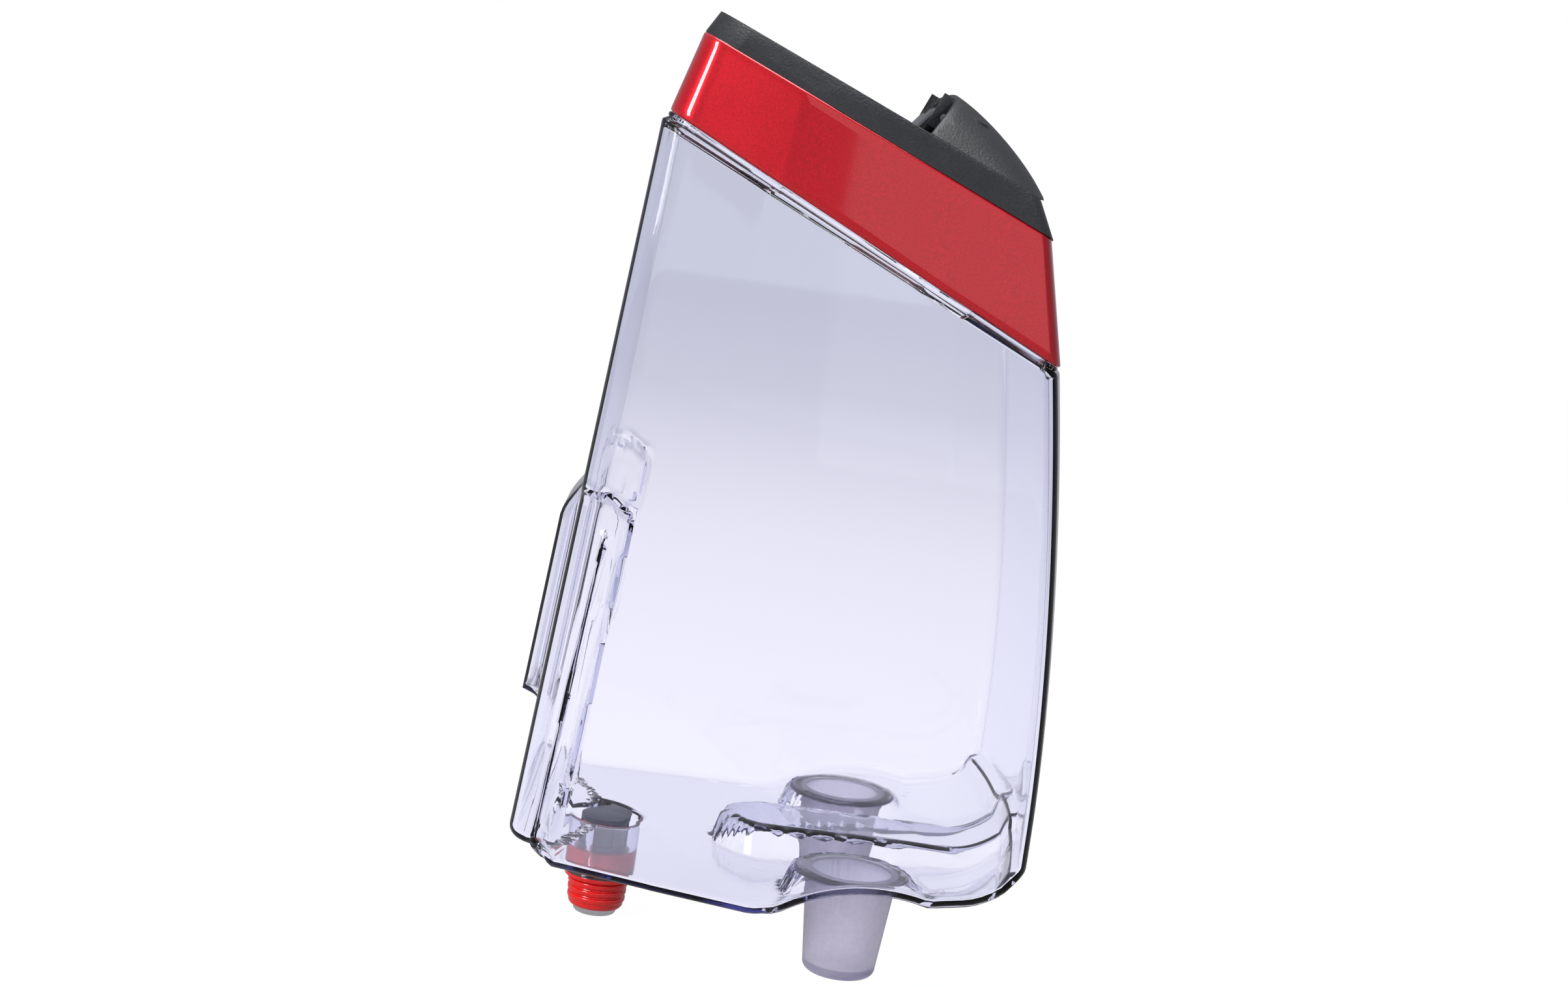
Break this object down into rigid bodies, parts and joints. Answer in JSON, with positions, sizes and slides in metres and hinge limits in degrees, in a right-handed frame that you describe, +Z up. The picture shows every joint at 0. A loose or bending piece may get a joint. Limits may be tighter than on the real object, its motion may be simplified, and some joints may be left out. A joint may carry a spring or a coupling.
{
  "type": "carpet cleaner clean water tank",
  "caption": "Clear removable water tank with sloping black grip cover, red collar, hinged fill lid, sprung bottom valve and hollow docking pegs.",
  "frame": {"origin": "centre of the valve's lower face, on the valve's axis: the point that meets the cleaner's inlet", "axes": "+Z up, along the valve axis and the docking direction; +X to the front, where the grip hood is; +Y to the tank's left side"},
  "size_m": [0.2059, 0.192, 0.363],
  "materials": {
    "clear_tank": "clear tinted moulding",
    "frosted_peg": "frosted translucent moulding",
    "red_collar": "metallic red gloss",
    "black_cover": "fine grained black moulding",
    "black_lever": "smooth black moulding",
    "seal_rubber": "soft seal",
    "red_valve": "glossy red moulding",
    "steel": "stainless steel",
    "chrome_tip": "bright ring",
    "strainer_grey": "dark grey moulding",
    "vent_grey": "dark moulding"
  },
  "bodies": {
    "tank": {"tank_shell": "clear_tank", "docking_peg_left": "frosted_peg", "docking_peg_right": "frosted_peg", "collar_band": "red_collar", "collar_gasket": "seal_rubber", "top_cover": "black_cover", "grip_hood": "black_cover", "hood_screws": "steel", "lever_pin": "steel", "lever_spring": "steel", "lid_pin": "steel", "vent_flap": "seal_rubber", "vent_guard": "vent_grey", "valve_housing": "red_valve", "valve_gasket": "seal_rubber", "valve_tip_ring": "chrome_tip", "valve_spring": "steel", "spring_retainer": "strainer_grey", "strainer_frame": "strainer_grey", "strainer_screen": "strainer_grey"},
    "lever": {"release_lever": "black_lever"},
    "pusher": {"release_pusher": "black_lever"},
    "lid": {"fill_lid": "black_cover", "lid_seal": "seal_rubber"},
    "plunger": {"valve_plunger": "strainer_grey", "plunger_seal": "seal_rubber"}
  },
  "joints": [
    {"name": "lever_squeeze", "type": "hinge", "parent": "tank", "child": "lever", "pos_m": [0.09227, 0, 0.33627], "axis": [0, -1, 0], "range_deg": [0, 12], "stiffness_Nm_per_rad": 0.25, "springref_deg": -11.46, "deforming": ["lever_spring"]},
    {"name": "pusher_slide", "type": "slide", "parent": "tank", "child": "pusher", "axis": [0.9217, 0, -0.3878], "range_m": [0, 0.003]},
    {"name": "lid_hinge", "type": "hinge", "parent": "tank", "child": "lid", "pos_m": [0.01519, 0, 0.35135], "axis": [0, -1, 0], "range_deg": [0, 80]},
    {"name": "plunger_lift", "type": "slide", "parent": "tank", "child": "plunger", "axis": [0, 0, 1], "range_m": [0, 0.005], "stiffness_N_per_m": 350, "springref_m": -0.004, "deforming": ["valve_spring"]}
  ],
  "couplings": [
    {"joint": "lever_squeeze", "follows": "pusher_slide", "rad_per_m": 69}
  ]
}
